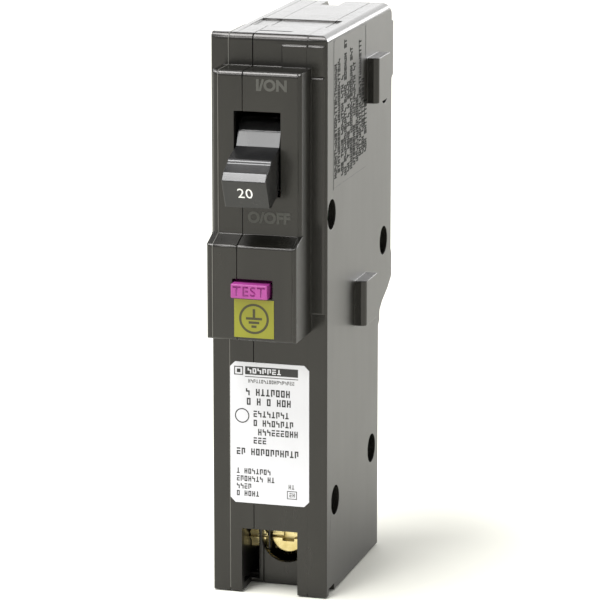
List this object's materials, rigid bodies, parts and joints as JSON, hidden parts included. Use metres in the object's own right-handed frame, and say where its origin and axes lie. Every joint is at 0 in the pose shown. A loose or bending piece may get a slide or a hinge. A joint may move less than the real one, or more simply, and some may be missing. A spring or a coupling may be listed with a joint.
{
  "type": "plug-on dual function circuit breaker",
  "caption": "Single-pole plug-on circuit breaker with a toggle, a push-to-test key, boxed load terminals and a rear stab jaw, standing on its load end.",
  "frame": {"origin": "middle of the flat load end face, under the centre of the pole width", "axes": "+X across the pole to the boss side, +Y from the toggle side towards the panel, +Z from the load end to the line end"},
  "size_m": [0.028, 0.0728, 0.122],
  "materials": {
    "shell_black": "semi-gloss moulded thermoset, near black",
    "toggle_black": "polished black moulded toggle",
    "key_magenta": "semi-gloss magenta",
    "label_white": "printed polyester film",
    "sticker_yellow": "printed vinyl",
    "brass": "bright brass",
    "zinc_steel": "zinc plated",
    "copper": "bare copper",
    "silver": "silver alloy",
    "spring_steel": "bright spring wire",
    "bimetal": "rolled strip",
    "fibre": "vulcanised fibre",
    "board_green": "solder mask",
    "chip_black": "moulded epoxy",
    "can_aluminium": "drawn can",
    "varistor_blue": "epoxy dip",
    "ferrite": "sintered ferrite",
    "winding": "enamelled copper under tape"
  },
  "bodies": {
    "housing": {"arc_chute_frame": "fibre", "arc_plates": "zinc_steel", "arc_sensor_core": "ferrite", "arc_sensor_winding": "winding", "armature_pin": "zinc_steel", "armature_spring": "spring_steel", "bimetal": "bimetal", "board_capacitors": "can_aluminium", "board_chips": "chip_black", "board_varistor": "varistor_blue", "calibration_screw": "brass", "circuit_board": "board_green", "contact_braid": "copper", "contact_pivot_pin": "zinc_steel", "cradle_pin": "zinc_steel", "current_sensor_core": "ferrite", "current_sensor_winding": "winding", "electronics_case": "shell_black", "handle_pin": "zinc_steel", "left_cover": "shell_black", "line_jaw": "copper", "line_jaw_spring": "spring_steel", "line_strap": "copper", "load_strap": "copper", "magnet_yoke": "zinc_steel", "mechanism_case": "shell_black", "neutral_clip": "copper", "neutral_clip_spring": "spring_steel", "neutral_strap": "copper", "neutral_terminal": "brass", "plunger_spring": "spring_steel", "power_terminal": "brass", "rating_label": "label_white", "right_cover": "shell_black", "rivets": "zinc_steel", "solenoid_coil": "winding", "solenoid_frame": "zinc_steel", "stationary_contact": "silver", "symbol_sticker": "sticker_yellow", "test_contact": "copper", "test_spring": "spring_steel", "test_spring_seat": "fibre", "toggle_spring": "spring_steel"},
    "toggle": {"handle": "toggle_black"},
    "moving_arm": {"contact_arm": "copper", "moving_contact": "silver"},
    "trip_cradle": {"cradle": "zinc_steel"},
    "trip_armature": {"armature": "zinc_steel"},
    "trip_plunger": {"solenoid_plunger": "zinc_steel"},
    "test_key": {"test_button": "key_magenta"},
    "power_clamp": {"power_clamp_plate": "brass"},
    "power_screw_turn": {"power_screw": "brass"},
    "neutral_clamp": {"neutral_clamp_plate": "brass"},
    "neutral_screw_turn": {"neutral_screw": "brass"}
  },
  "joints": [
    {"name": "handle_throw", "type": "hinge", "parent": "housing", "child": "toggle", "pos_m": [-0.00035, -0.0225, 0.098], "axis": [-1, 0, 0], "range_deg": [0, 50], "deforming": ["toggle_spring", "contact_braid"]},
    {"name": "contact_swing", "type": "hinge", "parent": "housing", "child": "moving_arm", "pos_m": [-0.00035, -0.0085, 0.0885], "axis": [1, 0, 0], "range_deg": [0, 16]},
    {"name": "plunger_pull", "type": "slide", "parent": "housing", "child": "trip_plunger", "axis": [0, 1, 0], "range_m": [0, 0.0024], "stiffness_N_per_m": 20, "deforming": ["plunger_spring", "armature_spring"]},
    {"name": "armature_pull", "type": "hinge", "parent": "housing", "child": "trip_armature", "pos_m": [-0.00035, 0.0149, 0.0878], "axis": [1, 0, 0], "range_deg": [0, 8]},
    {"name": "cradle_trip", "type": "hinge", "parent": "housing", "child": "trip_cradle", "pos_m": [-0.00035, -0.0075, 0.0765], "axis": [-1, 0, 0], "range_deg": [0, 8]},
    {"name": "test_press", "type": "slide", "parent": "housing", "child": "test_key", "axis": [0, 1, 0], "range_m": [0, 0.0012], "stiffness_N_per_m": 400, "deforming": ["test_spring"]},
    {"name": "power_clamp_travel", "type": "slide", "parent": "housing", "child": "power_clamp", "axis": [0, 1, 0], "range_m": [0, 0.003]},
    {"name": "power_screw_spin", "type": "hinge", "parent": "power_clamp", "child": "power_screw_turn", "pos_m": [0.0015, -0.0105, 0.0105], "axis": [0, 1, 0], "range_deg": [0, 1360]},
    {"name": "neutral_clamp_travel", "type": "slide", "parent": "housing", "child": "neutral_clamp", "axis": [0, 1, 0], "range_m": [0, 0.003]},
    {"name": "neutral_screw_spin", "type": "hinge", "parent": "neutral_clamp", "child": "neutral_screw_turn", "pos_m": [-0.00525, -0.0105, 0.0102], "axis": [0, 1, 0], "range_deg": [0, 1440]}
  ],
  "couplings": [
    {"joint": "contact_swing", "follows": "handle_throw", "ratio": 0.32},
    {"joint": "armature_pull", "follows": "plunger_pull", "rad_per_m": 58.172},
    {"joint": "cradle_trip", "follows": "plunger_pull", "rad_per_m": 58.172},
    {"joint": "power_screw_spin", "follows": "power_clamp_travel", "rad_per_m": 7911},
    {"joint": "neutral_screw_spin", "follows": "neutral_clamp_travel", "rad_per_m": 8376}
  ]
}
